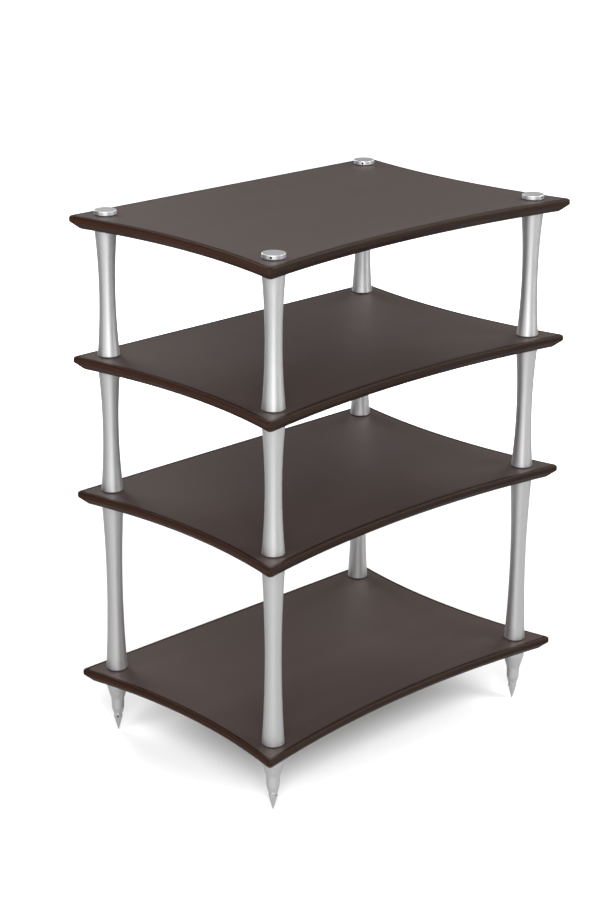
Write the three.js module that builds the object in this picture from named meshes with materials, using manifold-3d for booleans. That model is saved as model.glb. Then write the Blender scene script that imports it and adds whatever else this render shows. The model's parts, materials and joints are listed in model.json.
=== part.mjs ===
// Four-shelf equipment rack: dark shelves with hollow edges, held apart by waisted aluminium columns
// and carried by four feet with spikes that screw in and out to level it.
// Millimetres, +Z up. The origin is on the floor, in the middle between the four spikes.
// The front is the -Y side, and the straight shelf edge at the back is the +Y side.

import * as THREE from 'three';
import { mergeVertices } from 'three/addons/utils/BufferGeometryUtils.js';
import Module from 'manifold-3d';

// Column places, and the clear height of each bay between two shelves
const columnSpacingX = 500;
const columnSpacingY = 330;
const bottomBayHeight = 257;
const middleBayHeight = 180;
const topBayHeight = 180;

// Shelf
const shelfThickness = 18;
const shelfSideOverhang = 41.4;
const shelfFrontOverhang = 36.8;
const shelfBackOverhang = 31;
const shelfFrontHollow = 25.7;
const shelfSideHollow = 21.8;
const shelfCornerRadius = 6.5;
const shelfTopRounding = 3;
const shelfBevelHeight = 10;
const shelfBevelInset = 10.5;

// Column
const columnEndDiameter = 31;
const columnWaistDiameter = 22.6;
const columnRim = 1.1;

// Studs, the bores that they screw into, and the washers
const studDiameter = 8;
const studGrip = 13;
const studChamfer = 1;
const threadClearance = 0.3;
const boreSpare = 1;
const shelfHoleClearance = 0.5;
const washerThickness = 1.4;
const washerInset = 0.7;

// Top cap
const capDiameter = 31;
const capHeight = 5.6;
const capRim = 1.1;
const barHoleDiameter = 2.8;
const barHoleDepth = 7;

// Foot
const footLength = 54.5;
const footHeadDiameter = 31;
const footHeadHeight = 10;
const footHeadDraft = 0.4;
const footRim = 1.1;
const footFlareHeight = 20;
const footNeckDiameter = 19;
const footStemDiameter = 18;
const footTaperHeight = 9;
const footEndDiameter = 13.2;

// Spike: a collar with a cross hole and a threaded shank, and the hard cone below it
const collarDiameter = 12.2;
const collarHeight = 12.5;
const collarRim = 0.5;
const collarShoulderHeight = 5.5;
const crossHoleDiameter = 2.6;
const crossHoleLand = 0.6;
const shankDiameter = 8;
const shankLength = 22;
const coneHeight = 15;
const coneDiameter = 8.8;
const tipDiameter = 1;
const pinDiameter = 3.4;
const pinLength = 2.4;

// How far a cutting tool runs out past the face that it cuts
const overrun = 1;

// Facets
const roundSides = 16;
const smallRoundSides = 8;
const waistSteps = 6;
const flareSteps = 4;
const frontEdgeSteps = 14;
const sideEdgeSteps = 12;
const cornerSteps = 4;

// Where the middle ring of the shelf's rounding lies, as a share of the rounding, and the bend of the
// foot's flare and of the collar's shoulder, as shares of their width and height
const roundingShare = 0.3;
const flareBendShares = { out: 0.48, down: 0.6 };
const shoulderShares = [[0.8, 0.36], [0.35, 0.78]];

// Corners of the rack. A cap's hole and a spike's cross hole point where they were left when
// the piece was tightened, so every corner has its own angles, in degrees from +X.
const corners = [
  { name: 'front_left', right: -1, back: -1, capTurn: 213, spikeTurn: 276 },
  { name: 'front_right', right: 1, back: -1, capTurn: 283, spikeTurn: 316 },
  { name: 'back_right', right: 1, back: 1, capTurn: 220, spikeTurn: 60 },
  { name: 'back_left', right: -1, back: 1, capTurn: 30, spikeTurn: 226 },
];

// Bays from the floor up, with the shelf under each, and the shelf over the last one
const bays = [
  { name: 'bottom', height: bottomBayHeight },
  { name: 'middle', height: middleBayHeight },
  { name: 'upper', height: topBayHeight },
];
const topShelfName = 'top';

// Sizes that follow from the ones above
const shelfSide = columnSpacingX / 2 + shelfSideOverhang;
const shelfFront = columnSpacingY / 2 + shelfFrontOverhang;
const shelfBack = columnSpacingY / 2 + shelfBackOverhang;
const studRadius = studDiameter / 2;
const boreRadius = studRadius + threadClearance;
const boreDepth = studGrip + boreSpare;
const holeRadius = studRadius + shelfHoleClearance;
const studLength = shelfThickness + washerThickness + 2 * studGrip;
const spikeBoreRadius = shankDiameter / 2 + threadClearance;
const spikeBoreDepth = shankLength + boreSpare;
const footBottom = coneHeight + collarHeight;

const darkVeneer = new THREE.MeshStandardMaterial({ color: 0x43302a, roughness: 0.42, metalness: 0 });
const satinAluminium = new THREE.MeshStandardMaterial({ color: 0xc6c7c9, roughness: 0.38, metalness: 0.9 });
const brightSteel = new THREE.MeshStandardMaterial({ color: 0xb4b6b8, roughness: 0.25, metalness: 1 });
const blackRubber = new THREE.MeshStandardMaterial({ color: 0x17171a, roughness: 0.8, metalness: 0 });

const wasm = await Module();
wasm.setup();

const rack = new THREE.Group();

function place(name, geometry, material, x, y, z, degrees) {
  const piece = new THREE.Mesh(geometry, material);
  piece.name = name;
  piece.position.set(x, y, z);
  piece.rotation.z = THREE.MathUtils.degToRad(degrees);
  rack.add(piece);
}

// A turned piece from [radius, height] pairs, bottom to top, about +Z
function turned(profile, sides) {
  const points = profile.map(([radius, height]) => new THREE.Vector2(radius, height));
  return new THREE.LatheGeometry(points, sides).rotateX(Math.PI / 2);
}

// The points of a bent line between two [radius, height] pairs, without its first point
function bend(from, control, to, steps) {
  const pairs = [from, control, to].map(([radius, height]) => new THREE.Vector2(radius, height));
  const curve = new THREE.QuadraticBezierCurve(...pairs);
  return curve.getPoints(steps).slice(1).map((point) => [point.x, point.y]);
}

function toSolid(geometry) {
  const bare = geometry.clone();
  bare.deleteAttribute('normal');
  bare.deleteAttribute('uv');
  const merged = mergeVertices(bare);
  const triangles = [];
  for (let i = 0; i < merged.index.count; i += 3) {
    const [a, b, c] = merged.index.array.slice(i, i + 3);
    if (a !== b && b !== c && c !== a) triangles.push(a, b, c);
  }
  const vertProperties = new Float32Array(merged.attributes.position.array);
  const triVerts = new Uint32Array(triangles);
  return new wasm.Manifold(new wasm.Mesh({ numProp: 3, vertProperties, triVerts }));
}

function toGeometry(solid) {
  const mesh = solid.getMesh();
  const geometry = new THREE.BufferGeometry();
  geometry.setAttribute('position', new THREE.BufferAttribute(mesh.vertProperties, 3));
  geometry.setIndex(new THREE.BufferAttribute(mesh.triVerts, 1));
  geometry.computeVertexNormals();
  return geometry;
}

function cut(geometry, tools) {
  let solid = toSolid(geometry);
  for (const tool of tools) solid = solid.subtract(toSolid(tool));
  return toGeometry(solid);
}

function uprightDrill(radius, length, x, y, z) {
  const drill = new THREE.CylinderGeometry(radius, radius, length, smallRoundSides);
  return drill.rotateX(Math.PI / 2).translate(x, y, z);
}

// A drill that lies along +X from one x to another
function sidewaysDrill(radius, fromX, toX, z) {
  const drill = new THREE.CylinderGeometry(radius, radius, toX - fromX, smallRoundSides);
  return drill.rotateZ(Math.PI / 2).translate((fromX + toX) / 2, 0, z);
}

// One edge of a shelf between two sharp corners. It bows inwards by the hollow and stops short of
// both corners by the corner radius.
function edgePoints(from, to, hollow, steps) {
  const run = to.clone().sub(from);
  const inwards = new THREE.Vector2(-run.y, run.x).normalize();
  const trim = shelfCornerRadius / run.length();
  const points = [];
  for (let i = 0; i <= steps; i++) {
    const share = trim + (1 - 2 * trim) * (i / steps);
    const depth = hollow * 4 * share * (1 - share);
    points.push(from.clone().addScaledVector(run, share).addScaledVector(inwards, depth));
  }
  return points;
}

// The shelf's outline, all of it drawn in by the inset, anticlockwise from the front left
function shelfOutline(inset) {
  const side = shelfSide - inset;
  const front = inset - shelfFront;
  const back = shelfBack - inset;
  const places = [[-side, front], [side, front], [side, back], [-side, back]];
  const sharp = places.map(([x, y]) => new THREE.Vector2(x, y));
  const hollows = [shelfFrontHollow, shelfSideHollow, 0, shelfSideHollow];
  const steps = [frontEdgeSteps, sideEdgeSteps, 1, sideEdgeSteps];
  const following = (list, i) => list[(i + 1) % list.length];
  const edges = sharp.map((from, i) => edgePoints(from, following(sharp, i), hollows[i], steps[i]));
  return edges.flatMap((edge, i) => {
    const [end] = edge.slice(-1);
    const [start] = following(edges, i);
    const round = new THREE.QuadraticBezierCurve(end, following(sharp, i), start);
    return [...edge, ...round.getPoints(cornerSteps).slice(1, -1)];
  });
}

// A closed body through outlines that lie one over the other, each with as many points
function loft(rings) {
  const count = rings[0].outline.length;
  const positions = rings.flatMap(({ outline, z }) => outline.flatMap((point) => [point.x, point.y, z]));
  const indices = [];
  for (let ring = 0; ring + 1 < rings.length; ring++) {
    for (let i = 0; i < count; i++) {
      const a = ring * count + i;
      const b = ring * count + ((i + 1) % count);
      indices.push(a, b, b + count, a, b + count, a + count);
    }
  }
  const over = (rings.length - 1) * count;
  for (const [a, b, c] of THREE.ShapeUtils.triangulateShape(rings[0].outline, [])) indices.push(a, c, b);
  for (const [a, b, c] of THREE.ShapeUtils.triangulateShape(rings[rings.length - 1].outline, [])) {
    indices.push(over + a, over + b, over + c);
  }
  const geometry = new THREE.BufferGeometry();
  geometry.setAttribute('position', new THREE.Float32BufferAttribute(positions, 3));
  geometry.setIndex(indices);
  return geometry;
}

function shelfGeometry() {
  const upperRounding = shelfTopRounding * roundingShare;
  const board = loft([
    { outline: shelfOutline(shelfBevelInset), z: 0 },
    { outline: shelfOutline(0), z: shelfBevelHeight },
    { outline: shelfOutline(0), z: shelfThickness - shelfTopRounding },
    { outline: shelfOutline(upperRounding), z: shelfThickness - upperRounding },
    { outline: shelfOutline(shelfTopRounding), z: shelfThickness },
  ]);
  const drills = corners.map(({ right, back }) => {
    const x = (right * columnSpacingX) / 2;
    const y = (back * columnSpacingY) / 2;
    return uprightDrill(holeRadius, shelfThickness + 2 * overrun, x, y, shelfThickness / 2);
  });
  return cut(board, drills);
}

// A column stands on its washer, and its sides follow one shallow arc between the end rims
function columnGeometry(height) {
  const end = columnEndDiameter / 2;
  const waist = columnWaistDiameter / 2;
  const sides = [];
  for (let i = 0; i <= waistSteps; i++) {
    const z = columnRim + (height - 2 * columnRim) * (i / waistSteps);
    const fromMiddle = (2 * z - height) / (height - 2 * columnRim);
    sides.push([waist + (end - waist) * fromMiddle ** 2, z]);
  }
  const profile = [
    [0, boreDepth],
    [boreRadius, boreDepth],
    [boreRadius, 0],
    [end - columnRim, 0],
    ...sides,
    [end - columnRim, height],
    [boreRadius, height],
    [boreRadius, height - boreDepth],
    [0, height - boreDepth],
  ];
  return turned(profile, roundSides);
}

function washerGeometry(outerRadius) {
  const profile = [
    [holeRadius, 0],
    [outerRadius, 0],
    [outerRadius, washerThickness],
    [holeRadius, washerThickness],
    [holeRadius, 0],
  ];
  return turned(profile, roundSides);
}

function studGeometry() {
  const point = studRadius - studChamfer;
  const profile = [
    [0, 0],
    [point, 0],
    [studRadius, studChamfer],
    [studRadius, studLength - studChamfer],
    [point, studLength],
    [0, studLength],
  ];
  return turned(profile, smallRoundSides);
}

// The cap and its threaded spigot are one piece. Its origin is on its underside.
function capGeometry() {
  const radius = capDiameter / 2;
  const spigot = washerThickness + shelfThickness + studGrip;
  const profile = [
    [0, -spigot],
    [studRadius - studChamfer, -spigot],
    [studRadius, studChamfer - spigot],
    [studRadius, 0],
    [radius, 0],
    [radius, capHeight - capRim],
    [radius - capRim, capHeight],
    [0, capHeight],
  ];
  const middle = (capHeight - capRim) / 2;
  const barHole = sidewaysDrill(barHoleDiameter / 2, radius - barHoleDepth, radius + overrun, middle);
  return cut(turned(profile, roundSides), [barHole]);
}

// Head, flare, stem and end taper of a foot, with a bore for the stud above and one for the spike below
function footGeometry() {
  const head = footHeadDiameter / 2;
  const neck = footNeckDiameter / 2;
  const stem = footStemDiameter / 2;
  const end = footEndDiameter / 2;
  const headLow = head - footHeadDraft;
  const flareTop = footLength - footHeadHeight;
  const flareBottom = flareTop - footFlareHeight;
  const control = [
    neck + (headLow - neck) * flareBendShares.out,
    flareTop - footFlareHeight * flareBendShares.down,
  ];
  const profile = [
    [0, spikeBoreDepth],
    [spikeBoreRadius, spikeBoreDepth],
    [spikeBoreRadius, 0],
    [end, 0],
    [stem, footTaperHeight],
    [neck, flareBottom],
    ...bend([neck, flareBottom], control, [headLow, flareTop], flareSteps),
    [head, footLength - footRim],
    [head - footRim, footLength],
    [boreRadius, footLength],
    [boreRadius, footLength - boreDepth],
    [0, footLength - boreDepth],
  ];
  return turned(profile, roundSides);
}

// The collar that a tommy bar turns, and the threaded shank over it. Its origin is under the collar.
function spikeScrewGeometry() {
  const collar = collarDiameter / 2;
  const shank = shankDiameter / 2;
  const low = coneDiameter / 2;
  const pinBore = pinDiameter / 2 + threadClearance;
  const pinBoreDepth = pinLength + threadClearance;
  const top = collarHeight + shankLength;
  const shoulder = shoulderShares.map(([width, height]) => [
    collar - (collar - low) * width,
    collarShoulderHeight * height,
  ]);
  const profile = [
    [0, pinBoreDepth],
    [pinBore, pinBoreDepth],
    [pinBore, 0],
    [low, 0],
    ...shoulder,
    [collar, collarShoulderHeight],
    [collar, collarHeight - collarRim],
    [collar - collarRim, collarHeight],
    [shank, collarHeight],
    [shank, top - studChamfer],
    [shank - studChamfer, top],
    [0, top],
  ];
  const middle = pinBoreDepth + crossHoleLand + crossHoleDiameter / 2;
  const crossHole = sidewaysDrill(crossHoleDiameter / 2, -collar - overrun, collar + overrun, middle);
  return cut(turned(profile, roundSides), [crossHole]);
}

// The cone, with a round pin on top that sits in the collar. Its origin is at the point.
function spikeTipGeometry() {
  const profile = [
    [0, 0],
    [tipDiameter / 2, 0],
    [coneDiameter / 2, coneHeight],
    [pinDiameter / 2, coneHeight],
    [pinDiameter / 2, coneHeight + pinLength],
    [0, coneHeight + pinLength],
  ];
  return turned(profile, roundSides);
}

const shelf = shelfGeometry();
const columnWasher = washerGeometry(columnEndDiameter / 2 - washerInset);
const capWasher = washerGeometry(capDiameter / 2 - washerInset);
const stud = studGeometry();
const cap = capGeometry();
const foot = footGeometry();
const spikeScrew = spikeScrewGeometry();
const spikeTip = spikeTipGeometry();

let shelfBase = footBottom + footLength;
for (const bay of bays) {
  const column = columnGeometry(bay.height - washerThickness);
  const floor = shelfBase + shelfThickness;
  place(`${bay.name}_shelf`, shelf, darkVeneer, 0, 0, shelfBase, 0);
  for (const corner of corners) {
    const x = (corner.right * columnSpacingX) / 2;
    const y = (corner.back * columnSpacingY) / 2;
    place(`${bay.name}_stud_${corner.name}`, stud, brightSteel, x, y, shelfBase - studGrip, 0);
    place(`${bay.name}_washer_${corner.name}`, columnWasher, blackRubber, x, y, floor, 0);
    place(`${bay.name}_column_${corner.name}`, column, satinAluminium, x, y, floor + washerThickness, 0);
  }
  shelfBase = floor + bay.height;
}
place(`${topShelfName}_shelf`, shelf, darkVeneer, 0, 0, shelfBase, 0);
const topFace = shelfBase + shelfThickness;

for (const corner of corners) {
  const x = (corner.right * columnSpacingX) / 2;
  const y = (corner.back * columnSpacingY) / 2;
  place(`cap_washer_${corner.name}`, capWasher, blackRubber, x, y, topFace, 0);
  place(`cap_${corner.name}`, cap, satinAluminium, x, y, topFace + washerThickness, corner.capTurn);
  place(`foot_${corner.name}`, foot, satinAluminium, x, y, footBottom, 0);
  place(`spike_screw_${corner.name}`, spikeScrew, brightSteel, x, y, coneHeight, corner.spikeTurn);
  place(`spike_tip_${corner.name}`, spikeTip, brightSteel, x, y, 0, 0);
}

export default rack;
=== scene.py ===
# Audio equipment rack: dark veneered shelves between turned aluminium columns, on spiked feet.
# Everything is in metres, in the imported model's own frame: Z up, the front towards -Y.
import json
import math

import bmesh
import bpy
from mathutils import Matrix, Vector


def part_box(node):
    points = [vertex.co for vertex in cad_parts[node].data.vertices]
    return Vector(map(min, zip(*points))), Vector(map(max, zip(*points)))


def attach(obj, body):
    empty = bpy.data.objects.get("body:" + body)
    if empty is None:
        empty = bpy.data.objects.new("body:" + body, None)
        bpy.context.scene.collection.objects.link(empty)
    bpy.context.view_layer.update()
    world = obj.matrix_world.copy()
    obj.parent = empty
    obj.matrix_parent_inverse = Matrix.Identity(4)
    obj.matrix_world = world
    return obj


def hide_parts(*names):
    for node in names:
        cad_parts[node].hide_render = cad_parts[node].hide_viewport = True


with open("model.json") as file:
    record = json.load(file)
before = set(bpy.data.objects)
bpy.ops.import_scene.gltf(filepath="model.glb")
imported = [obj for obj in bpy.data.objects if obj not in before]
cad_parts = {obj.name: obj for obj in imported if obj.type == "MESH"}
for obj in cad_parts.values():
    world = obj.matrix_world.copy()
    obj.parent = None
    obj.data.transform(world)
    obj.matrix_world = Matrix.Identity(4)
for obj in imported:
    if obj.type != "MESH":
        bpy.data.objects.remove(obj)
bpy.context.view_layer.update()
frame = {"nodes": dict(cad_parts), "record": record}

cornerNames = ["front_left", "front_right", "back_right", "back_left"]
bayNames = ["bottom", "middle", "upper"]
bodyOfNode = {node: body for body, nodes in frame["record"]["behaviour"]["bodies"].items() for node in nodes}
print("frame loaded,", len(frame["nodes"]), "nodes")


# Working in edit mode

# how close, in metres, counts as the same place: for picking, merging, clearing slivers and cutting
closeness = {"pick": 0.00001, "merge": 0.000002, "sliver": 0.000003, "needle": 0.000001, "cut": 0.0000001}


def clearSelection():
    if bpy.context.object and bpy.context.object.mode != "OBJECT":
        bpy.ops.object.mode_set(mode="OBJECT")
    bpy.ops.object.select_all(action="DESELECT")


def makeActive(piece):
    clearSelection()
    piece.select_set(True)
    bpy.context.view_layer.objects.active = piece


def startEdit(piece):
    makeActive(piece)
    bpy.ops.object.mode_set(mode="EDIT")


def endEdit():
    bpy.ops.object.mode_set(mode="OBJECT")


def pick(kind, wanted):
    # selects the vertices, edges or faces that are wanted
    bpy.ops.mesh.select_mode(type=kind)
    bpy.ops.mesh.select_all(action="DESELECT")
    mesh = bmesh.from_edit_mesh(bpy.context.object.data)
    items = {"VERT": mesh.verts, "EDGE": mesh.edges, "FACE": mesh.faces}[kind]
    for item in items:
        if wanted(item):
            item.select_set(True)
    mesh.select_flush_mode()
    bmesh.update_edit_mesh(bpy.context.object.data)


def pickAll():
    bpy.ops.mesh.select_mode(type="VERT")
    bpy.ops.mesh.select_all(action="SELECT")


def atHeight(*heights):
    # wants the edges that lie flat at one of the heights
    return lambda edge: any(all(abs(v.co.z - z) < closeness["pick"] for v in edge.verts) for z in heights)


def applyAll(piece):
    makeActive(piece)
    for modifier in list(piece.modifiers):
        bpy.ops.object.modifier_apply(modifier=modifier.name)


def startPoint(name, place):
    # a plane merged into one vertex, from which a profile is extruded
    clearSelection()
    bpy.ops.mesh.primitive_plane_add(size=0.01, location=(0, 0, 0))
    piece = bpy.context.object
    piece.name = name
    piece.data.name = name
    startEdit(piece)
    pickAll()
    bpy.ops.mesh.merge(type="CENTER")
    pickAll()
    bpy.ops.transform.translate(value=place)
    return piece


def extrudeTo(points, last):
    # draws on from the selected vertex, point by point
    for point in points:
        step = Vector(point) - Vector(last)
        bpy.ops.mesh.extrude_vertices_move(TRANSFORM_OT_translate={"value": step})
        last = point


def bend(start, control, end, steps):
    # points on a bent line between two places, both of them included
    shares = [step / steps for step in range(steps + 1)]
    return [
        tuple((1 - t) ** 2 * a + 2 * t * (1 - t) * b + t ** 2 * c for a, b, c in zip(start, control, end))
        for t in shares
    ]


def softened(profile, segments=4):
    # a third number in a (radius, height) pair rounds that corner off, that far to both sides of it
    points = []
    for number, corner in enumerate(profile):
        if len(corner) == 2:
            points.append(corner)
            continue
        place = Vector(corner[:2])
        before, after = (Vector(profile[number + step][:2]) for step in (-1, 1))
        start = place + (before - place).normalized() * corner[2]
        end = place + (after - place).normalized() * corner[2]
        points += bend(start, place, end, segments)
    return points


def turnedPiece(name, profile, steps):
    # spins a profile of (radius, height) pairs round Z
    places = [(radius, 0, height) for radius, height in softened(profile)]
    piece = startPoint(name, places[0])
    extrudeTo(places[1:], places[0])
    pickAll()
    bpy.ops.mesh.spin(steps=steps, angle=math.tau, center=(0, 0, 0), axis=(0, 0, 1), use_auto_merge=True)
    pickAll()
    bpy.ops.mesh.remove_doubles(threshold=closeness["merge"])
    bpy.ops.mesh.normals_make_consistent(inside=False)
    endEdit()
    return piece


def mergeSlivers(piece):
    # clears the needle faces that a boolean leaves where two surfaces nearly meet
    startEdit(piece)
    pickAll()
    bpy.ops.mesh.remove_doubles(threshold=closeness["sliver"])
    bpy.ops.mesh.dissolve_degenerate(threshold=closeness["needle"])
    endEdit()


def combine(piece, other, operation):
    # cuts, joins or trims the piece with another one, which is used up
    boolean = piece.modifiers.new("combine", "BOOLEAN")
    boolean.operation = operation
    boolean.solver = "EXACT"
    boolean.object = other
    applyAll(piece)
    bpy.data.objects.remove(other)


def drillWith(piece, profile, places, direction, sides=40):
    # cuts the same turned drill into the piece at every place, its axis along the direction
    for place in places:
        drill = turnedPiece("drill", profile, sides)
        drill.data.transform(Vector(direction).to_track_quat("Z", "Y").to_matrix().to_4x4())
        drill.data.transform(Matrix.Translation(place))
        combine(piece, drill, "DIFFERENCE")
    mergeSlivers(piece)


def smoothPiece(piece, degrees=32):
    # smooth over the roundings, flat on the large faces between them
    makeActive(piece)
    bpy.ops.object.shade_smooth_by_angle(angle=math.radians(degrees))
    weighting = piece.modifiers.new("weighting", "WEIGHTED_NORMAL")
    weighting.keep_sharp = True
    weighting.weight = 100
    applyAll(piece)


def finishTurned(piece, material):
    piece.data.materials.append(material)
    unrollTurned(piece)
    smoothPiece(piece)


def darkenHole(piece, shape, start, end):
    # a second material on the wall of a cross hole, between two places along X: near-black metal as painted
    # shade inside the hole
    piece.data.materials.append(holeShadeMaterial)
    for face in piece.data.polygons:
        beside = math.hypot(face.center.y, face.center.z - shape["holeHeight"])
        inside = beside < shape["holeRadius"] * shape["wallShare"] and start < face.center.x < end
        face.material_index = 1 if inside else 0


def unrollTurned(piece):
    # a UV map in metres: round the piece, and along its turned profile, for tool lines
    layer = piece.data.uv_layers.new(name="turning")
    for face in piece.data.polygons:
        middle = math.atan2(face.center.y, face.center.x)
        for loop in face.loop_indices:
            place = piece.data.vertices[piece.data.loops[loop].vertex_index].co
            radius = math.hypot(place.x, place.y)
            angle = math.atan2(place.y, place.x) if radius > closeness["pick"] else middle
            angle = middle + math.remainder(angle - middle, math.tau)
            layer.data[loop].uv = (angle * radius, place.z - radius)


def copyTo(model, name, node, move, turn=0):
    # a copy with a mesh of its own, in the place of a CAD node
    makeActive(model)
    bpy.ops.object.duplicate(linked=False)
    piece = bpy.context.object
    piece.name = name
    piece.data.name = name
    piece.rotation_euler = (0, 0, math.radians(turn))
    piece.location = move
    bpy.ops.object.transform_apply(location=True, rotation=True, scale=False)
    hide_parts(node)
    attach(piece, bodyOfNode[node])
    return piece


def throwAway(piece):
    bpy.data.objects.remove(piece)


def centreOf(node):
    low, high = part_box(node)
    return (low.x + high.x) / 2, (low.y + high.y) / 2


def baseOf(node):
    return (*centreOf(node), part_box(node)[0].z)


# Building shader trees

def addNode(tree, kind, place, **settings):
    made = tree.nodes.new(kind)
    made.location = place
    for setting, value in settings.items():
        setattr(made, setting, value)
    return made


def newGroup(name, inputs, outputs):
    group = bpy.data.node_groups.new(name, "ShaderNodeTree")
    for label, kind in inputs:
        group.interface.new_socket(name=label, in_out="INPUT", socket_type=kind)
    for label, kind in outputs:
        group.interface.new_socket(name=label, in_out="OUTPUT", socket_type=kind)
    start = addNode(group, "NodeGroupInput", (-1200, 0))
    end = addNode(group, "NodeGroupOutput", (900, 0))
    return group, start, end


def addGroup(tree, group, place, values):
    made = addNode(tree, "ShaderNodeGroup", place, node_tree=group)
    for label, value in values.items():
        made.inputs[label].default_value = value
    return made


def stretched(tree, source, factors, place):
    scaled = addNode(tree, "ShaderNodeVectorMath", place, operation="MULTIPLY")
    tree.links.new(source, scaled.inputs[0])
    scaled.inputs[1].default_value = factors
    return scaled.outputs["Vector"]


def noiseOn(tree, vector, scale, detail, roughness, place):
    noise = addNode(tree, "ShaderNodeTexNoise", place)
    noise.inputs["Scale"].default_value = scale
    noise.inputs["Detail"].default_value = detail
    noise.inputs["Roughness"].default_value = roughness
    tree.links.new(vector, noise.inputs["Vector"])
    return noise.outputs["Fac"]


def mathOn(tree, operation, first, second, place):
    made = addNode(tree, "ShaderNodeMath", place, operation=operation)
    for socket, value in zip(made.inputs, (first, second)):
        if isinstance(value, (int, float)):
            socket.default_value = value
        else:
            tree.links.new(value, socket)
    return made.outputs[0]


def spreadOver(tree, source, fromLow, fromHigh, toLow, toHigh, place):
    made = addNode(tree, "ShaderNodeMapRange", place)
    tree.links.new(source, made.inputs["Value"])
    ends = {"From Min": fromLow, "From Max": fromHigh, "To Min": toLow, "To Max": toHigh}
    for label, value in ends.items():
        made.inputs[label].default_value = value
    return made.outputs["Result"]


def blendColours(tree, share, first, second, place):
    made = addNode(tree, "ShaderNodeMix", place, data_type="RGBA")
    tree.links.new(share, made.inputs["Factor"])
    for socket, value in ((made.inputs[6], first), (made.inputs[7], second)):
        if isinstance(value, tuple):
            socket.default_value = value
        else:
            tree.links.new(value, socket)
    return made.outputs[2]


def bumpFrom(tree, height, strength, distance, place):
    bump = addNode(tree, "ShaderNodeBump", place)
    bump.inputs["Strength"].default_value = strength
    bump.inputs["Distance"].default_value = distance
    tree.links.new(height, bump.inputs["Height"])
    return bump.outputs["Normal"]


# noise per metre along and across the grain, and the part of its range that shows
grainPattern = {
    "sway": (1.6, 5, 1), "swayWidth": 0.022,
    "bands": (0.7, 26, 1), "streaks": (5, 520, 1), "pores": (70, 2300, 1),
    "shown": (0.3, 0.7), "poresShown": (0.58, 0.68), "streakHeight": 0.25,
}


def woodFigureGroup():
    # straight-grained stained veneer: broad bands, fine streaks and open pores along the first axis of Run
    group, start, end = newGroup(
        "woodFigure",
        [
            ("Run", "NodeSocketVector"),
            ("Dark", "NodeSocketColor"),
            ("Light", "NodeSocketColor"),
            ("Pore", "NodeSocketColor"),
            ("Band Share", "NodeSocketFloat"),
            ("Streak Share", "NodeSocketFloat"),
            ("Pore Share", "NodeSocketFloat"),
        ],
        [("Colour", "NodeSocketColor"), ("Height", "NodeSocketFloat")],
    )
    pattern = grainPattern
    run = start.outputs["Run"]
    sway = noiseOn(group, stretched(group, run, pattern["sway"], (-1000, 300)), 1, 2, 0.5, (-800, 300))
    swayed = addNode(group, "ShaderNodeCombineXYZ", (-600, 300))
    group.links.new(mathOn(group, "MULTIPLY", sway, pattern["swayWidth"], (-700, 200)), swayed.inputs["Y"])
    drift = addNode(group, "ShaderNodeVectorMath", (-500, 200), operation="ADD")
    group.links.new(run, drift.inputs[0])
    group.links.new(swayed.outputs["Vector"], drift.inputs[1])
    along = drift.outputs["Vector"]
    band = noiseOn(group, stretched(group, along, pattern["bands"], (-400, 400)), 1, 3, 0.55, (-200, 400))
    streak = noiseOn(group, stretched(group, along, pattern["streaks"], (-400, 200)), 1, 4, 0.6, (-200, 200))
    pore = noiseOn(group, stretched(group, along, pattern["pores"], (-400, 0)), 1, 1, 0.5, (-200, 0))
    bandMask = spreadOver(group, band, *pattern["shown"], 0, 1, (0, 400))
    streakMask = spreadOver(group, streak, *pattern["shown"], 0, 1, (0, 200))
    poreMask = spreadOver(group, pore, *pattern["poresShown"], 0, 1, (0, 0))
    bandPart = mathOn(group, "MULTIPLY", bandMask, start.outputs["Band Share"], (200, 400))
    streakPart = mathOn(group, "MULTIPLY", streakMask, start.outputs["Streak Share"], (200, 200))
    porePart = mathOn(group, "MULTIPLY", poreMask, start.outputs["Pore Share"], (200, 0))
    figure = mathOn(group, "ADD", bandPart, streakPart, (350, 300))
    stained = blendColours(group, figure, start.outputs["Dark"], start.outputs["Light"], (500, 200))
    opened = blendColours(group, porePart, stained, start.outputs["Pore"], (700, 200))
    group.links.new(opened, end.inputs["Colour"])
    ridges = mathOn(group, "MULTIPLY", streakPart, pattern["streakHeight"], (500, -100))
    group.links.new(mathOn(group, "SUBTRACT", ridges, porePart, (650, -100)), end.inputs["Height"])
    return group


cloudPattern = {"perMetre": 17, "shown": (0.3, 0.7)}


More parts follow.
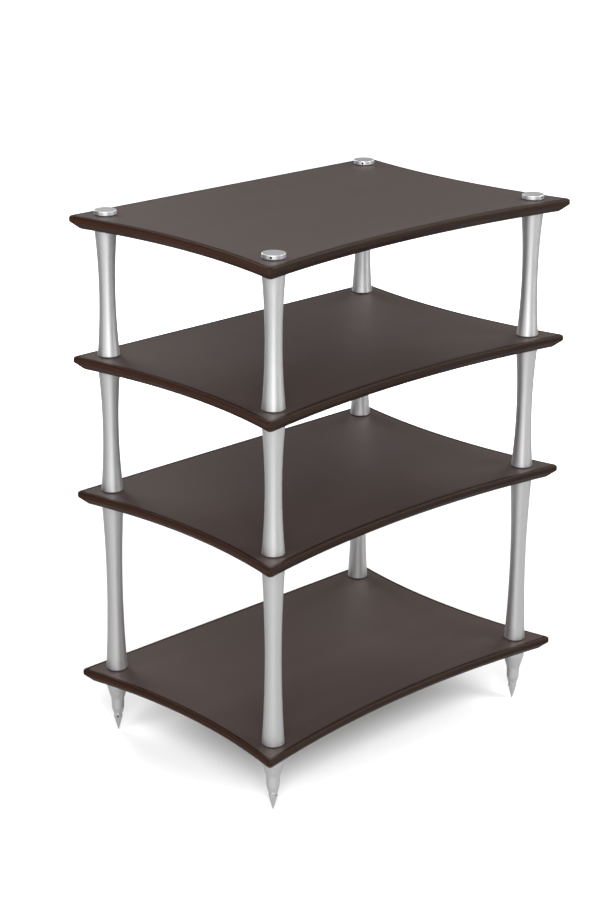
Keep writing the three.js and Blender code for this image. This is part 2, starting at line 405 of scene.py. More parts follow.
def toolFinishGroup():
    # turned metal: fine lines across the profile, a blasted grit, and slow clouds in the finish
    group, start, end = newGroup(
        "toolFinish",
        [
            ("Place", "NodeSocketVector"),
            ("Run", "NodeSocketVector"),
            ("Lines Per Metre", "NodeSocketFloat"),
            ("Line Share", "NodeSocketFloat"),
            ("Grit Per Metre", "NodeSocketFloat"),
            ("Grit Share", "NodeSocketFloat"),
        ],
        [("Height", "NodeSocketFloat"), ("Cloud", "NodeSocketFloat")],
    )
    split = addNode(group, "ShaderNodeSeparateXYZ", (-1000, 200))
    group.links.new(start.outputs["Run"], split.inputs["Vector"])
    lineNoise = addNode(group, "ShaderNodeTexNoise", (-600, 200), noise_dimensions="1D")
    lineNoise.inputs["Scale"].default_value = 1
    lineNoise.inputs["Detail"].default_value = 2
    lineCount = mathOn(group, "MULTIPLY", split.outputs["Y"], start.outputs["Lines Per Metre"], (-800, 200))
    group.links.new(lineCount, lineNoise.inputs["W"])
    gritNoise = addNode(group, "ShaderNodeTexNoise", (-600, -50))
    gritNoise.inputs["Detail"].default_value = 2
    group.links.new(start.outputs["Place"], gritNoise.inputs["Vector"])
    group.links.new(start.outputs["Grit Per Metre"], gritNoise.inputs["Scale"])
    cloud = noiseOn(group, start.outputs["Place"], cloudPattern["perMetre"], 3, 0.55, (-600, -300))
    linePart = mathOn(group, "MULTIPLY", lineNoise.outputs["Fac"], start.outputs["Line Share"], (-300, 200))
    gritPart = mathOn(group, "MULTIPLY", gritNoise.outputs["Fac"], start.outputs["Grit Share"], (-300, -50))
    group.links.new(mathOn(group, "ADD", linePart, gritPart, (0, 100)), end.inputs["Height"])
    group.links.new(spreadOver(group, cloud, *cloudPattern["shown"], 0, 1, (0, -300)), end.inputs["Cloud"])
    return group


handledPattern = {
    "wipes": (9, 4, 9), "wipesShown": (0.35, 0.68), "specksPerMetre": 1400, "specksShown": (0.72, 0.78),
    "settledPerMetre": 12, "settledShown": (0.4, 0.7), "lookingUp": (0.6, 1),
}


def handledGroup():
    # faint wiping marks and a little settled dust, more of it on faces that look up
    group, start, end = newGroup(
        "handled",
        [("Place", "NodeSocketVector"), ("Facing", "NodeSocketVector")],
        [("Smear", "NodeSocketFloat"), ("Dust", "NodeSocketFloat")],
    )
    pattern = handledPattern
    place = start.outputs["Place"]
    wipe = noiseOn(group, stretched(group, place, pattern["wipes"], (-900, 200)), 1, 4, 0.62, (-700, 200))
    smear = spreadOver(group, wipe, *pattern["wipesShown"], 0, 1, (-400, 200))
    group.links.new(smear, end.inputs["Smear"])
    speck = noiseOn(group, place, pattern["specksPerMetre"], 1, 0.5, (-700, -50))
    settled = noiseOn(group, place, pattern["settledPerMetre"], 2, 0.5, (-700, -250))
    split = addNode(group, "ShaderNodeSeparateXYZ", (-900, -450))
    group.links.new(start.outputs["Facing"], split.inputs["Vector"])
    upwards = spreadOver(group, split.outputs["Z"], *pattern["lookingUp"], 0, 1, (-700, -450))
    specks = spreadOver(group, speck, *pattern["specksShown"], 0, 1, (-400, -50))
    drifts = spreadOver(group, settled, *pattern["settledShown"], 0, 1, (-400, -250))
    dust = mathOn(group, "MULTIPLY", specks, drifts, (-200, -150))
    group.links.new(mathOn(group, "MULTIPLY", dust, upwards, (0, -200)), end.inputs["Dust"])
    return group


woodFigure = woodFigureGroup()
toolFinish = toolFinishGroup()
handled = handledGroup()


def newMaterial(name):
    material = bpy.data.materials.new(name)
    material.use_nodes = True
    tree = material.node_tree
    tree.nodes.clear()
    output = addNode(tree, "ShaderNodeOutputMaterial", (900, 0))
    shader = addNode(tree, "ShaderNodeBsdfPrincipled", (600, 0))
    tree.links.new(shader.outputs["BSDF"], output.inputs["Surface"])
    return material, tree, shader


def woodMaterial(name, look):
    material, tree, shader = newMaterial(name)
    grain = addNode(tree, "ShaderNodeUVMap", (-900, 200), uv_map="grain")
    space = addNode(tree, "ShaderNodeTexCoord", (-900, -200))
    figure = addGroup(tree, woodFigure, (-600, 200), {
        "Dark": look["dark"], "Light": look["light"], "Pore": look["pore"],
        "Band Share": look["bandShare"], "Streak Share": look["streakShare"], "Pore Share": look["poreShare"],
    })
    marks = addGroup(tree, handled, (-600, -200), {})
    tree.links.new(grain.outputs["UV"], figure.inputs["Run"])
    tree.links.new(space.outputs["Object"], marks.inputs["Place"])
    tree.links.new(space.outputs["Normal"], marks.inputs["Facing"])
    dusty = mathOn(tree, "MULTIPLY", marks.outputs["Dust"], look["dustShare"], (-300, -200))
    colour = blendColours(tree, dusty, figure.outputs["Colour"], look["dustColour"], (-100, 200))
    tree.links.new(colour, shader.inputs["Base Color"])
    smear = marks.outputs["Smear"]
    smeared = spreadOver(tree, smear, 0, 1, look["roughness"], look["smearedRoughness"], (-300, 0))
    tree.links.new(mathOn(tree, "ADD", smeared, dusty, (0, 0)), shader.inputs["Roughness"])
    bumped = bumpFrom(tree, figure.outputs["Height"], look["bump"], look["bumpDepth"], (100, -300))
    tree.links.new(bumped, shader.inputs["Normal"])
    shader.inputs["IOR"].default_value = 1.5
    shader.inputs["Specular IOR Level"].default_value = look["specular"]
    shader.inputs["Specular Tint"].default_value = look["specularTint"]
    return material


def metalMaterial(name, look):
    material, tree, shader = newMaterial(name)
    turning = addNode(tree, "ShaderNodeUVMap", (-900, 200), uv_map="turning")
    space = addNode(tree, "ShaderNodeTexCoord", (-900, -100))
    finish = addGroup(tree, toolFinish, (-600, 100), {
        "Lines Per Metre": look["linesPerMetre"], "Line Share": look["lineShare"],
        "Grit Per Metre": look["gritPerMetre"], "Grit Share": look["gritShare"],
    })
    tree.links.new(space.outputs["Object"], finish.inputs["Place"])
    tree.links.new(turning.outputs["UV"], finish.inputs["Run"])
    cloud = finish.outputs["Cloud"]
    colour = blendColours(tree, cloud, look["colour"], look["cloudColour"], (-200, 200))
    tree.links.new(colour, shader.inputs["Base Color"])
    rough = spreadOver(tree, cloud, 0, 1, look["roughness"], look["cloudRoughness"], (-200, 0))
    tree.links.new(rough, shader.inputs["Roughness"])
    bumped = bumpFrom(tree, finish.outputs["Height"], look["bump"], look["bumpDepth"], (0, -200))
    tree.links.new(bumped, shader.inputs["Normal"])
    shader.inputs["Metallic"].default_value = 1
    return material


veneerLook = {
    "dark": (0.0183, 0.0118, 0.0108, 1), "light": (0.0279, 0.0184, 0.0167, 1),
    "pore": (0.01, 0.0066, 0.006, 1), "bandShare": 0.45, "streakShare": 0.5, "poreShare": 0.5,
    "roughness": 0.55, "smearedRoughness": 0.59, "bump": 0.3, "bumpDepth": 0.00006, "specular": 0.68,
    "specularTint": (1, 0.79, 0.71, 1), "dustShare": 0.15, "dustColour": (0.3, 0.28, 0.26, 1),
}
sideLook = {
    "dark": (0.017, 0.0061, 0.0034, 1), "light": (0.043, 0.0172, 0.01, 1), "pore": (0.007, 0.0032, 0.0024, 1),
    "bandShare": 0.35, "streakShare": 0.65, "poreShare": 0.7,
    "roughness": 0.46, "smearedRoughness": 0.52, "bump": 0.4, "bumpDepth": 0.00006, "specular": 0.1,
    "specularTint": (1, 0.9, 0.86, 1), "dustShare": 0.08, "dustColour": (0.3, 0.28, 0.26, 1),
}
# painted shade: the front lipping is a darker copy of the side lipping's colours, which shades the front
# edges
frontShadeLook = {
    **sideLook, "dark": (0.0095, 0.0044, 0.0026, 1), "light": (0.024, 0.012, 0.0075, 1), "specular": 0.12,
}
# painted shade: a still darker copy of the lipping, for the line of shade along the rounded top of the side
# edges
arrisShadeLook = {
    **sideLook, "dark": (0.011, 0.0041, 0.0024, 1), "light": (0.027, 0.0108, 0.0064, 1), "specular": 0.07,
}
columnLook = {
    "colour": (0.57, 0.57, 0.573, 1), "cloudColour": (0.55, 0.55, 0.555, 1),
    "roughness": 0.42, "cloudRoughness": 0.47, "linesPerMetre": 2600, "lineShare": 0.25,
    "gritPerMetre": 2800, "gritShare": 0.6, "bump": 0.22, "bumpDepth": 0.00005,
}
footLook = {**columnLook, "colour": (0.66, 0.66, 0.663, 1), "cloudColour": (0.63, 0.63, 0.635, 1)}
capLook = {
    **columnLook, "colour": (0.53, 0.53, 0.533, 1), "cloudColour": (0.51, 0.51, 0.515, 1),
    "roughness": 0.44, "cloudRoughness": 0.5, "lineShare": 0.5, "gritShare": 0.3,
}
# painted shade: near-black metal on the walls of the cross holes, for the shade inside them
holeShadeLook = {
    **columnLook, "colour": (0.03, 0.03, 0.03, 1), "cloudColour": (0.02, 0.02, 0.02, 1),
    "roughness": 0.6, "cloudRoughness": 0.7,
}
spikeLook = {
    "colour": (0.72, 0.72, 0.725, 1), "cloudColour": (0.67, 0.67, 0.68, 1),
    "roughness": 0.18, "cloudRoughness": 0.26, "linesPerMetre": 5200, "lineShare": 0.6,
    "gritPerMetre": 4000, "gritShare": 0.15, "bump": 0.25, "bumpDepth": 0.00003,
}
studLook = {
    **spikeLook, "colour": (0.58, 0.585, 0.6, 1), "cloudColour": (0.54, 0.545, 0.56, 1),
    "roughness": 0.32, "cloudRoughness": 0.4,
}

veneerMaterial = woodMaterial("darkVeneer", veneerLook)
sideMaterial = woodMaterial("sideLipping", sideLook)
# a darker copy of the side lipping, painted as shade on the front edges
frontShadeMaterial = woodMaterial("frontLippingPaintedShade", frontShadeLook)
# the rounded top of the side edges, painted darker as shade
arrisShadeMaterial = woodMaterial("arrisPaintedShade", arrisShadeLook)
columnMaterial = metalMaterial("satinColumn", columnLook)
footMaterial = metalMaterial("satinFoot", footLook)
capMaterial = metalMaterial("satinCap", capLook)
# near-black walls for the cross holes, painted as shade
holeShadeMaterial = metalMaterial("holeWallPaintedShade", holeShadeLook)
spikeMaterial = metalMaterial("turnedSteel", spikeLook)
studMaterial = metalMaterial("platedSteel", studLook)


washerLook = {
    "colour": (0.012, 0.012, 0.013, 1), "wornColour": (0.03, 0.03, 0.031, 1),
    "roughness": 0.62, "wornRoughness": 0.8, "wearPerMetre": 60,
    "grainPerMetre": 1800, "bump": 0.3, "bumpDepth": 0.00005,
}


def washerRubber():
    look = washerLook
    material, tree, shader = newMaterial("washerRubber")
    place = addNode(tree, "ShaderNodeTexCoord", (-700, 0)).outputs["Object"]
    grain = noiseOn(tree, place, look["grainPerMetre"], 2, 0.5, (-450, 100))
    worn = noiseOn(tree, place, look["wearPerMetre"], 2, 0.5, (-450, -150))
    colour = blendColours(tree, worn, look["colour"], look["wornColour"], (-150, 150))
    rough = spreadOver(tree, worn, 0, 1, look["roughness"], look["wornRoughness"], (-150, 0))
    bumped = bumpFrom(tree, grain, look["bump"], look["bumpDepth"], (-150, -250))
    tree.links.new(colour, shader.inputs["Base Color"])
    tree.links.new(rough, shader.inputs["Roughness"])
    tree.links.new(bumped, shader.inputs["Normal"])
    return material


washerMaterial = washerRubber()
print("materials made")


# Shelves. The lipping round the veneer falls a hair towards the edge, so that it is a face of its own.

shelfShape = {
    "sideOverhang": 0.0414, "frontOverhang": 0.03674, "backOverhang": 0.031,
    "frontHollow": 0.0257, "sideHollow": 0.0218, "frontSteps": 44, "sideSteps": 28,
    "bevelHeight": 0.010, "bevelInset": 0.0105, "bevelSoftening": 0.0009,
    "cornerRound": 0.0064, "cornerSteps": 10,
    "topRound": 0.003, "topRoundSteps": 8, "underRound": 0.0018,
    "lippingWidth": 0.0066, "lippingFall": 0.00003, "levelNormal": 0.97,
    "holeRadius": 0.0045, "holeMouth": 0.0003, "joinWithin": 0.00002, "cornerWithin": 0.00004,
    "sideGrainStart": 3, "frontGrainStart": 5, "grainShift": 0.9,
}


def hollowEdge(start, end, hollow, steps):
    # spins the vertex at the start round a far centre, so that it leaves a hollow arc behind it
    chord = end - start
    inwards = Vector((-chord.y, chord.x, 0)).normalized()
    radius = (chord.length ** 2 / 4 + hollow ** 2) / (2 * hollow)
    centre = (start + end) / 2 + inwards * (hollow - radius)
    sweep = 2 * math.asin(chord.length / 2 / radius)
    pick("VERT", lambda v: (v.co - start).length < closeness["pick"])
    bpy.ops.mesh.spin(steps=steps, angle=sweep, center=centre, axis=(0, 0, 1))


def layGrain(piece):
    # a UV map in metres: along and across the grain, which follows each edge on the edges
    layer = piece.data.uv_layers.new(name="grain")
    for face in piece.data.polygons:
        isVeneer = face.material_index == 0
        alongSide = abs(face.normal.x) > abs(face.normal.y)
        for loop in face.loop_indices:
            place = piece.data.vertices[piece.data.loops[loop].vertex_index].co
            if isVeneer:
                layer.data[loop].uv = (place.x, place.y)
            elif alongSide:
                layer.data[loop].uv = (place.y + shelfShape["sideGrainStart"], place.z)
            else:
                layer.data[loop].uv = (place.x + shelfShape["frontGrainStart"], place.z)


def shiftGrain(piece, shift):
    for corner in piece.data.uv_layers["grain"].data:
        corner.uv = (corner.uv[0] + shift, corner.uv[1] + shift / 3)


def shelfOutline(name, inset, height):
    # a flat face with three hollow edges, a straight back and rounded corners
    shape = shelfShape
    columnX, columnY = centreOf("foot_back_right")
    side = columnX + shape["sideOverhang"] - inset
    front, back = columnY + shape["frontOverhang"] - inset, columnY + shape["backOverhang"] - inset
    places = [(-side, -front, 0), (side, -front, 0), (side, back, 0), (-side, back, 0)]
    corners = [Vector(place) for place in places]
    clearSelection()
    bpy.ops.mesh.primitive_plane_add(size=1, location=(0, 0, 0))
    outline = bpy.context.object
    outline.name = name
    outline.data.name = name
    startEdit(outline)
    pickAll()
    bpy.ops.transform.resize(value=(2 * side, front + back, 1))
    bpy.ops.transform.translate(value=(0, (back - front) / 2, 0))
    bpy.ops.mesh.delete(type="EDGE_FACE")
    hollowEdge(corners[0], corners[1], shape["frontHollow"], shape["frontSteps"])
    hollowEdge(corners[1], corners[2], shape["sideHollow"], shape["sideSteps"])
    hollowEdge(corners[3], corners[0], shape["sideHollow"], shape["sideSteps"])
    pickAll()
    bpy.ops.mesh.remove_doubles(threshold=shape["joinWithin"])
    atCorner = lambda v: any((v.co - corner).length < shape["cornerWithin"] for corner in corners)
    pick("VERT", lambda v: v.co.y > 0 and atCorner(v))
    bpy.ops.mesh.edge_face_add()
    pickAll()
    bpy.ops.mesh.edge_face_add()
    pick("VERT", atCorner)
    bpy.ops.mesh.bevel(offset=shape["cornerRound"], segments=shape["cornerSteps"], affect="VERTICES")
    pickAll()
    bpy.ops.transform.translate(value=(0, 0, height))
    endEdit()
    return outline


def edgeRings(thickness):
    # (inset, height) pairs up the edge: a wide bevel, an upright band, a quarter round, and the lipping's top
    shape = shelfShape
    rings = softened([
        (2 * shape["bevelInset"], 0), (shape["bevelInset"], 0, shape["underRound"]),
        (0, shape["bevelHeight"], shape["bevelSoftening"]), (0, thickness),
    ])[1:-1]
    for step in range(shape["topRoundSteps"] + 1):
        angle = math.pi / 2 * step / shape["topRoundSteps"]
        drop = shape["topRound"] * (1 - math.sin(angle)) + shape["lippingFall"]
        rings.append((shape["topRound"] * (1 - math.cos(angle)), thickness - drop))
    rings.append((shape["lippingWidth"], thickness))
    return rings


def makeShelf(name):
    shape = shelfShape
    low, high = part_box("top_shelf")
    thickness = high.z - low.z
    rings = edgeRings(thickness)
    outlines = [shelfOutline(name, inset, height) for inset, height in rings]
    shelf = outlines[0]
    makeActive(shelf)
    for outline in outlines[1:]:
        outline.select_set(True)
    bpy.ops.object.join()
    startEdit(shelf)
    pick("FACE", lambda f: True)
    bpy.ops.mesh.delete(type="ONLY_FACE")
    for (_, lower), (_, upper) in zip(rings, rings[1:]):
        pick("EDGE", atHeight(lower, upper))
        bpy.ops.mesh.bridge_edge_loops()
    for height in (0, thickness):
        pick("EDGE", atHeight(height))
        bpy.ops.mesh.edge_face_add()
    pickAll()
    bpy.ops.mesh.normals_make_consistent(inside=False)
    endEdit()
    hole, mouth = shape["holeRadius"], shape["holeMouth"]
    drill = [(0, -mouth), (hole + 2 * mouth, -mouth), (hole, mouth), (hole, thickness - mouth),
             (hole + 2 * mouth, thickness + mouth), (0, thickness + mouth)]
    drillWith(shelf, drill, [(*centreOf(f"foot_{corner}"), 0) for corner in cornerNames], (0, 0, 1))
    for material in (veneerMaterial, sideMaterial, frontShadeMaterial, arrisShadeMaterial):
        shelf.data.materials.append(material)
    # veneer above and below, lipping on the edges and round the top, darker on the rounded top of the sides
    # as painted shade
    veneer, side, front, arris = range(4)
    for face in shelf.data.polygons:
        nearSide = abs(face.center.x) / high.x > abs(face.center.y) / high.y
        if face.normal.z < -shape["levelNormal"] or face.center.z > thickness - shape["lippingFall"] / 4:
            face.material_index = veneer
        # upward lipping faces: painted shade on the sides' rounded top, and on the fronts the front lipping's
        # darker copy, also painted shade
        elif face.normal.z > shape["levelNormal"]:
            face.material_index = arris if nearSide else front
        elif abs(face.normal.y) > abs(face.normal.x):
            face.material_index = front
        else:
            face.material_index = arris if face.center.z > thickness - shape["topRound"] else side
    layGrain(shelf)
    smoothPiece(shelf)
    return shelf


model = makeShelf("shelfModel")
for number, level in enumerate(["bottom", "middle", "upper", "top"]):
    low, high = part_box(f"{level}_shelf")
    board = copyTo(model, f"board_{level}", f"{level}_shelf", (0, 0, low.z))
    shiftGrain(board, shelfShape["grainShift"] * number)
throwAway(model)
print("shelves made")


# Columns

columnShape = {
    "waist": 0.0113, "rim": 0.0005, "boreRadius": 0.0043, "boreDepth": 0.014, "boreLead": 0.0004,
    "arcSteps": 18, "sides": 96,
}


def makeColumn(name, node):
    shape = columnShape
    low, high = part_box(node)
    end, height, rim = (high.x - low.x) / 2, high.z - low.z, shape["rim"]
    bore, depth, lead = shape["boreRadius"], shape["boreDepth"], shape["boreLead"]
    profile = [(0, depth), (bore, depth), (bore, 0, lead), (end, 0, rim)]
    for step in range(1, shape["arcSteps"]):
        share = 2 * step / shape["arcSteps"] - 1
        radius = shape["waist"] + (end - shape["waist"]) * share ** 2
        profile.append((radius, height / 2 + share * height / 2))
    profile += [(end, height, rim), (bore, height, lead), (bore, height - depth), (0, height - depth)]
    column = turnedPiece(name, profile, shape["sides"])
    finishTurned(column, columnMaterial)
    return column


for bay in bayNames:
    model = makeColumn("columnModel", f"{bay}_column_front_left")
    for corner in cornerNames:
        node = f"{bay}_column_{corner}"
        column = copyTo(model, f"pillar_{bay}_{corner}", node, baseOf(node))
    throwAway(model)
print("columns made")


# Washers

washerShape = {"holeRadius": 0.0045, "sides": 72, "softening": 0.00018, "softeningSteps": 2}


def makeWasher(name, node):
    shape = washerShape
    low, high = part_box(node)
    outer, thickness, inner = (high.x - low.x) / 2, high.z - low.z, shape["holeRadius"]
    clearSelection()
    bpy.ops.mesh.primitive_circle_add(vertices=shape["sides"], radius=inner, fill_type="NOTHING")
    washer = bpy.context.object
    washer.name = name
    washer.data.name = name
    startEdit(washer)
    pickAll()
    bpy.ops.mesh.extrude_edges_move()
    bpy.ops.transform.resize(value=(outer / inner, outer / inner, 1), center_override=(0, 0, 0))
    pickAll()
    bpy.ops.mesh.extrude_region_move(TRANSFORM_OT_translate={"value": (0, 0, thickness)})
    pickAll()
    bpy.ops.mesh.normals_make_consistent(inside=False)
    isOuter = lambda e: all(abs(math.hypot(v.co.x, v.co.y) - outer) < closeness["pick"] for v in e.verts)
    pick("EDGE", lambda e: isOuter(e) and atHeight(0, thickness)(e))
    bpy.ops.mesh.bevel(offset=shape["softening"], segments=shape["softeningSteps"], affect="EDGES")
    endEdit()
    washer.data.materials.append(washerMaterial)
    smoothPiece(washer)
    return washer


model = makeWasher("washerModel", "cap_washer_front_left")
for stack in bayNames + ["cap"]:
    for corner in cornerNames:
        node = f"{stack}_washer_{corner}"
        washer = copyTo(model, f"ring_{stack}_{corner}", node, baseOf(node))
throwAway(model)
print("washers made")


# Studs, threaded all along and screwed into the columns and feet on both sides of a shelf. The caps and the
# spikes have the same thread, and its groove is the undercut between the thread and the plain part beside it.

threadShape = {
    "radius": 0.004, "pitch": 0.00125, "depthInPitches": 0.61, "crestInPitches": 0.125, "steps": 40,
    "chamferInDepths": 1.3, "sleeveInRadii": 1.02,
    "groove": 0.0032, "grooveHeight": 0.0009, "overlap": 0.0006,
}


def threadedRod(name, low, high):
    # one V of thread wound up by a screw modifier, cut square at both ends and trimmed by a chamfered sleeve
    shape = threadShape
    radius, pitch, steps = shape["radius"], shape["pitch"], shape["steps"]
    depth, crest = shape["depthInPitches"] * pitch, shape["crestInPitches"] * pitch
    start, root = low - pitch, radius - depth
    vee = [
        (root, 0, start),
        (root, 0, start + 2 * crest),
        (radius, 0, start + pitch / 2 + crest / 2),
        (radius, 0, start + pitch / 2 + 3 * crest / 2),
        (root, 0, start + pitch),
    ]
    rod = startPoint(name, vee[0])
    extrudeTo(vee[1:], vee[0])
    endEdit()
    winding = rod.modifiers.new("winding", "SCREW")
    winding.axis = "Z"
    winding.angle = math.tau
    winding.screw_offset = pitch
    winding.iterations = math.ceil((high - low) / pitch) + 2
    winding.steps = steps
    winding.render_steps = steps
    winding.use_merge_vertices = True
    winding.merge_threshold = closeness["merge"]
    applyAll(rod)
    startEdit(rod)
    pickAll()
    bpy.ops.mesh.remove_doubles(threshold=closeness["merge"])
    for height, side in ((low, -1), (high, 1)):
        pickAll()
        bpy.ops.mesh.bisect(
            plane_co=(0, 0, height), plane_no=(0, 0, side), use_fill=True, clear_outer=True,
            threshold=closeness["cut"],
        )
    pickAll()
    bpy.ops.mesh.normals_make_consistent(inside=False)
    endEdit()
    clearSelection()
    bpy.ops.mesh.primitive_cylinder_add(
        vertices=2 * steps, radius=radius * shape["sleeveInRadii"], depth=high - low,
        location=(0, 0, (low + high) / 2),
    )
    sleeve = bpy.context.object
    sleeve.data.transform(Matrix.Translation(sleeve.location))
    sleeve.location = (0, 0, 0)
    startEdit(sleeve)
    pick("EDGE", atHeight(low, high))
    bpy.ops.mesh.bevel(offset=depth * shape["chamferInDepths"], segments=1, affect="EDGES")
    endEdit()
    combine(rod, sleeve, "INTERSECT")
    return rod


def makeStud(name, node):
    low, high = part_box(node)
    stud = threadedRod(name, 0, high.z - low.z)
    finishTurned(stud, studMaterial)
    return stud


model = makeStud("studModel", "bottom_stud_front_left")
for bay in bayNames:
    for corner in cornerNames:
        node = f"{bay}_stud_{corner}"
        stud = copyTo(model, f"rod_{bay}_{corner}", node, baseOf(node))
throwAway(model)
print("studs made")


# Top caps: a low disc with a tommy-bar hole in its rim, on a shank whose lower end is threaded

capShape = {
    "radius": 0.0155, "height": 0.0056, "rim": 0.0011, "underRim": 0.00025, "sides": 128,
    "plainShank": 0.0168, "shankEdge": 0.0003,
    "holeRadius": 0.0015, "holeDepth": 0.007, "holeHeight": 0.00225, "mouth": 0.00022, "drillPoint": 0.6,
    "wallShare": 1.05, "turns": {"front_left": 213, "front_right": 273, "back_right": 216, "back_left": 30},
}


def makeCap(name, node):
    shape = capShape
    low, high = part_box(node)
    radius, height, shank = shape["radius"], shape["height"], threadShape["radius"]
    plain, length = shape["plainShank"], high.z - low.z - shape["height"]
    groove, grooveLow = threadShape["groove"], -plain - threadShape["grooveHeight"]
    coreLow = grooveLow - threadShape["overlap"]
    cap = turnedPiece(name, [
        (0, coreLow), (groove, coreLow), (groove, -plain), (shank, -plain, shape["shankEdge"]), (shank, 0),
        (radius, 0, shape["underRim"]), (radius, height, shape["rim"]), (0, height),
    ], shape["sides"])
    combine(cap, threadedRod("capThread", -length, grooveLow), "UNION")
    mergeSlivers(cap)
    hole, mouth, bottom = shape["holeRadius"], shape["mouth"], radius - shape["holeDepth"]
    drill = [(0, bottom), (hole, bottom + hole * shape["drillPoint"]), (hole, radius - mouth),
             (hole + 3 * mouth, radius + 2 * mouth), (0, radius + 2 * mouth)]
    drillWith(cap, drill, [(0, 0, shape["holeHeight"])], (1, 0, 0))
    finishTurned(cap, capMaterial)
    darkenHole(cap, shape, bottom - hole, radius - mouth)
    return cap


model = makeCap("capModel", "cap_front_left")
for corner in cornerNames:
    node = f"cap_{corner}"
    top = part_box(node)[1].z - capShape["height"]
    cap = copyTo(model, f"button_{corner}", node, (*centreOf(node), top), capShape["turns"][corner])
throwAway(model)
print("caps made")


# Feet

footShape = {
    "headHeight": 0.010, "headDraft": 0.0004, "rim": 0.0011, "flareHeight": 0.020, "flareBend": (0.48, 0.6),
    "neck": 0.0095, "stem": 0.009, "taperHeight": 0.009, "end": 0.0066, "endRim": 0.0003, "crease": 0.0005,
    "boreRadius": 0.0043, "studBore": 0.014, "spikeBore": 0.023, "boreLead": 0.0005,
    "flareSteps": 14, "sides": 96,
}


def makeFoot(name, node):
    shape = footShape
    low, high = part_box(node)
    head, length, bore = (high.x - low.x) / 2, high.z - low.z, shape["boreRadius"]
    headLow, flareTop = head - shape["headDraft"], length - shape["headHeight"]
    flareLow, neck = flareTop - shape["flareHeight"], shape["neck"]
    out, down = shape["flareBend"]
    flare = bend(
        (neck, flareLow), (neck + (headLow - neck) * out, flareTop - shape["flareHeight"] * down),
        (headLow, flareTop), shape["flareSteps"],
    )
    foot = turnedPiece(name, [
        (0, shape["spikeBore"]), (bore, shape["spikeBore"]), (bore, 0, shape["boreLead"]),
        (shape["end"], 0, shape["endRim"]), (shape["stem"], shape["taperHeight"], shape["crease"]),
        *flare[:-1], (*flare[-1], shape["crease"]), (head, length, shape["rim"]),
        (bore, length, shape["boreLead"]), (bore, length - shape["studBore"]),
        (0, length - shape["studBore"]),
    ], shape["sides"])
    finishTurned(foot, footMaterial)
    return foot


model = makeFoot("footModel", "foot_front_left")
for corner in cornerNames:
    node = f"foot_{corner}"
    foot = copyTo(model, f"leg_{corner}", node, baseOf(node))
throwAway(model)
print("feet made")


# Spikes: a collar with a cross hole for a tommy bar and a threaded shank, and a hard cone pinned into it

spikeShape = {
    "collar": 0.0061, "collarHeight": 0.0125, "rim": 0.0005,
    "shoulderHeight": 0.0055, "shoulderBend": (0.00477, 0.00284), "shoulderSteps": 10,
    "pinBore": 0.002, "pinBoreDepth": 0.0027, "pin": 0.0017,
    "holeRadius": 0.0014, "holeHeight": 0.0078, "holeLead": 0.0002, "leadOut": 0.0058, "wallShare": 1.05,
    "cone": 0.0044, "coneHeight": 0.015, "tip": 0.0005, "edge": 0.00015, "sides": 80,
    "turns": {"front_left": 276, "front_right": 316, "back_right": 60, "back_left": 226},
}


def makeSpikeScrew(name, node):
    shape = spikeShape
    low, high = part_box(node)
    collar, height, edge = shape["collar"], shape["collarHeight"], shape["edge"]
    shoulder = bend(
        (shape["cone"], 0), shape["shoulderBend"], (collar, shape["shoulderHeight"]), shape["shoulderSteps"]
    )
    groove, grooveTop = threadShape["groove"], height + threadShape["grooveHeight"]
    coreTop = grooveTop + threadShape["overlap"]
    screw = turnedPiece(name, [
        (0, shape["pinBoreDepth"]), (shape["pinBore"], shape["pinBoreDepth"]), (shape["pinBore"], 0, edge),
        (*shoulder[0], edge), *shoulder[1:-1], (*shoulder[-1], 2 * edge), (collar, height, shape["rim"]),
        (groove, height), (groove, coreTop), (0, coreTop),
    ], shape["sides"])
    combine(screw, threadedRod("shankThread", grooveTop, high.z - low.z), "UNION")
    mergeSlivers(screw)
    hole, reach, lead, leadOut = shape["holeRadius"], 2 * collar, shape["holeLead"], shape["leadOut"]
    drill = [(0, -reach), (hole + lead, -reach), (hole + lead, -leadOut), (hole, lead - leadOut),
             (hole, leadOut - lead), (hole + lead, leadOut), (hole + lead, reach), (0, reach)]
    drillWith(screw, drill, [(0, 0, shape["holeHeight"])], (1, 0, 0))
    finishTurned(screw, spikeMaterial)
    darkenHole(screw, shape, -reach, reach)
    return screw


def makeSpikeTip(name, node):
    shape = spikeShape
    low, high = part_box(node)
    length = high.z - low.z
    tip = turnedPiece(name, [
        (0, 0), (shape["tip"], 0, shape["edge"]), (shape["cone"], shape["coneHeight"], shape["edge"]),
        (shape["pin"], shape["coneHeight"]), (shape["pin"], length, 2 * shape["edge"]), (0, length),
    ], shape["sides"])
    finishTurned(tip, spikeMaterial)
    return tip


screwModel = makeSpikeScrew("screwModel", "spike_screw_front_left")
tipModel = makeSpikeTip("tipModel", "spike_tip_front_left")
for corner in cornerNames:
    turn = spikeShape["turns"][corner]
    for model, label, part in ((screwModel, "screw", "spike_screw"), (tipModel, "point", "spike_tip")):
        node = f"{part}_{corner}"
        piece = copyTo(model, f"{label}_{corner}", node, baseOf(node), turn)
throwAway(screwModel)
throwAway(tipModel)
print("spikes made")


# Floor, light and camera

stageLook = {
    "floorSize": 60, "floorColour": (0.86, 0.86, 0.86, 1), "floorRoughness": 0.75, "floorSpecular": 0.2,
    "floorSeenBySurfaces": (0.4, 0.4, 0.4, 1), "backdrop": 1.0, "surroundings": 0.08,
    "sweepStart": 0.95, "sweepEnd": 1.6,
}


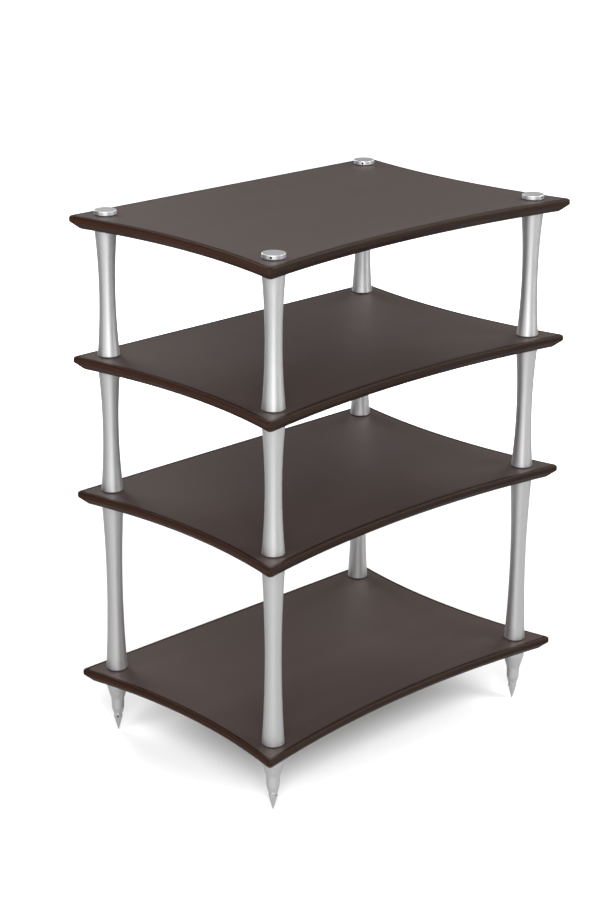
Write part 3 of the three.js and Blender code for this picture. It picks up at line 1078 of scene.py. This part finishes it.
def makeFloor():
    # pale under the rack, and from the camera it runs out into the white backdrop, as a studio sweep does
    look = stageLook
    clearSelection()
    bpy.ops.mesh.primitive_plane_add(size=look["floorSize"], location=(0, 0, 0))
    floor = bpy.context.object
    floor.name = "studioFloor"
    material, tree, shader = newMaterial("paleFloor")
    fromCamera = addNode(tree, "ShaderNodeLightPath", (-600, 300)).outputs["Is Camera Ray"]
    colour = blendColours(tree, fromCamera, look["floorSeenBySurfaces"], look["floorColour"], (-300, 200))
    tree.links.new(colour, shader.inputs["Base Color"])
    space = addNode(tree, "ShaderNodeTexCoord", (-900, -100))
    away = addNode(tree, "ShaderNodeVectorMath", (-600, -100), operation="LENGTH")
    tree.links.new(space.outputs["Object"], away.inputs[0])
    sweep = spreadOver(tree, away.outputs["Value"], look["sweepStart"], look["sweepEnd"], 0, 1, (-300, -100))
    glow = mathOn(tree, "MULTIPLY", sweep, look["backdrop"], (0, -100))
    glowSeen = mathOn(tree, "MULTIPLY", glow, fromCamera, (200, -100))
    tree.links.new(glowSeen, shader.inputs["Emission Strength"])
    shader.inputs["Emission Color"].default_value = (1, 1, 1, 1)
    shader.inputs["Roughness"].default_value = look["floorRoughness"]
    shader.inputs["Specular IOR Level"].default_value = look["floorSpecular"]
    floor.data.materials.append(material)


def makeWorld():
    world = bpy.data.worlds.new("studio")
    bpy.context.scene.world = world
    world.use_nodes = True
    tree = world.node_tree
    background = tree.nodes["Background"]
    background.inputs["Color"].default_value = (1, 1, 1, 1)
    fromCamera = addNode(tree, "ShaderNodeLightPath", (-600, 0)).outputs["Is Camera Ray"]
    seen = spreadOver(tree, fromCamera, 0, 1, stageLook["surroundings"], stageLook["backdrop"], (-300, 0))
    tree.links.new(seen, background.inputs["Strength"])


softboxAim = Vector((0, 0, 0.4))
softboxes = {
    "front": {"azimuth": -44, "elevation": 28, "distance": 3, "size": (1.6, 2.2), "power": 122},
    "left": {"azimuth": -90, "elevation": 28, "distance": 3, "size": (1.6, 2.2), "power": 48},
    "right": {"azimuth": 30, "elevation": 28, "distance": 3, "size": (1.6, 2.2), "power": 77},
    "farRight": {"azimuth": 90, "elevation": 28, "distance": 3, "size": (1.6, 2.2), "power": 38},
    "back": {"azimuth": 180, "elevation": 28, "distance": 3, "size": (1.6, 2.2), "power": 56},
    "high": {"azimuth": 136, "elevation": 52, "distance": 3, "size": (3.0, 2.0), "power": 16},
}


def awayFromRack(azimuth, elevation):
    # both in degrees, the azimuth from the front towards the right
    turn, rise = math.radians(azimuth), math.radians(elevation)
    return Vector((math.sin(turn) * math.cos(rise), -math.cos(turn) * math.cos(rise), math.sin(rise)))


def makeLights():
    for name, box in softboxes.items():
        outwards = awayFromRack(box["azimuth"], box["elevation"])
        light = bpy.data.lights.new(name, "AREA")
        light.shape = "RECTANGLE"
        light.size, light.size_y = box["size"]
        light.energy = box["power"]
        lamp = bpy.data.objects.new(name, light)
        bpy.context.scene.collection.objects.link(lamp)
        lamp.location = softboxAim + outwards * box["distance"]
        lamp.rotation_euler = (-outwards).to_track_quat("-Z", "Y").to_euler()


cameraSet = {
    "azimuth": -44.26, "elevation": 19.28, "roll": 0.32, "place": (-1.98921, -1.99849, 1.40260),
    "lens": 83.57, "sensorWidth": 36, "clipEnd": 100,
}


def makeCamera():
    roll = math.radians(cameraSet["roll"])
    back = awayFromRack(cameraSet["azimuth"], cameraSet["elevation"])
    right = (-back).cross(Vector((0, 0, 1))).normalized()
    up = right.cross(-back)
    turnedRight = math.cos(roll) * right + math.sin(roll) * up
    turnedUp = math.cos(roll) * up - math.sin(roll) * right
    camera = bpy.data.objects.new("photoCamera", bpy.data.cameras.new("photoCamera"))
    bpy.context.scene.collection.objects.link(camera)
    camera.matrix_world = Matrix((turnedRight, turnedUp, back)).transposed().to_4x4()
    camera.location = cameraSet["place"]
    camera.data.lens = cameraSet["lens"]
    camera.data.sensor_width = cameraSet["sensorWidth"]
    camera.data.clip_end = cameraSet["clipEnd"]
    bpy.context.scene.camera = camera


makeFloor()
makeWorld()
makeLights()
makeCamera()
bpy.context.scene.view_settings.view_transform = "Standard"
print("stage made")
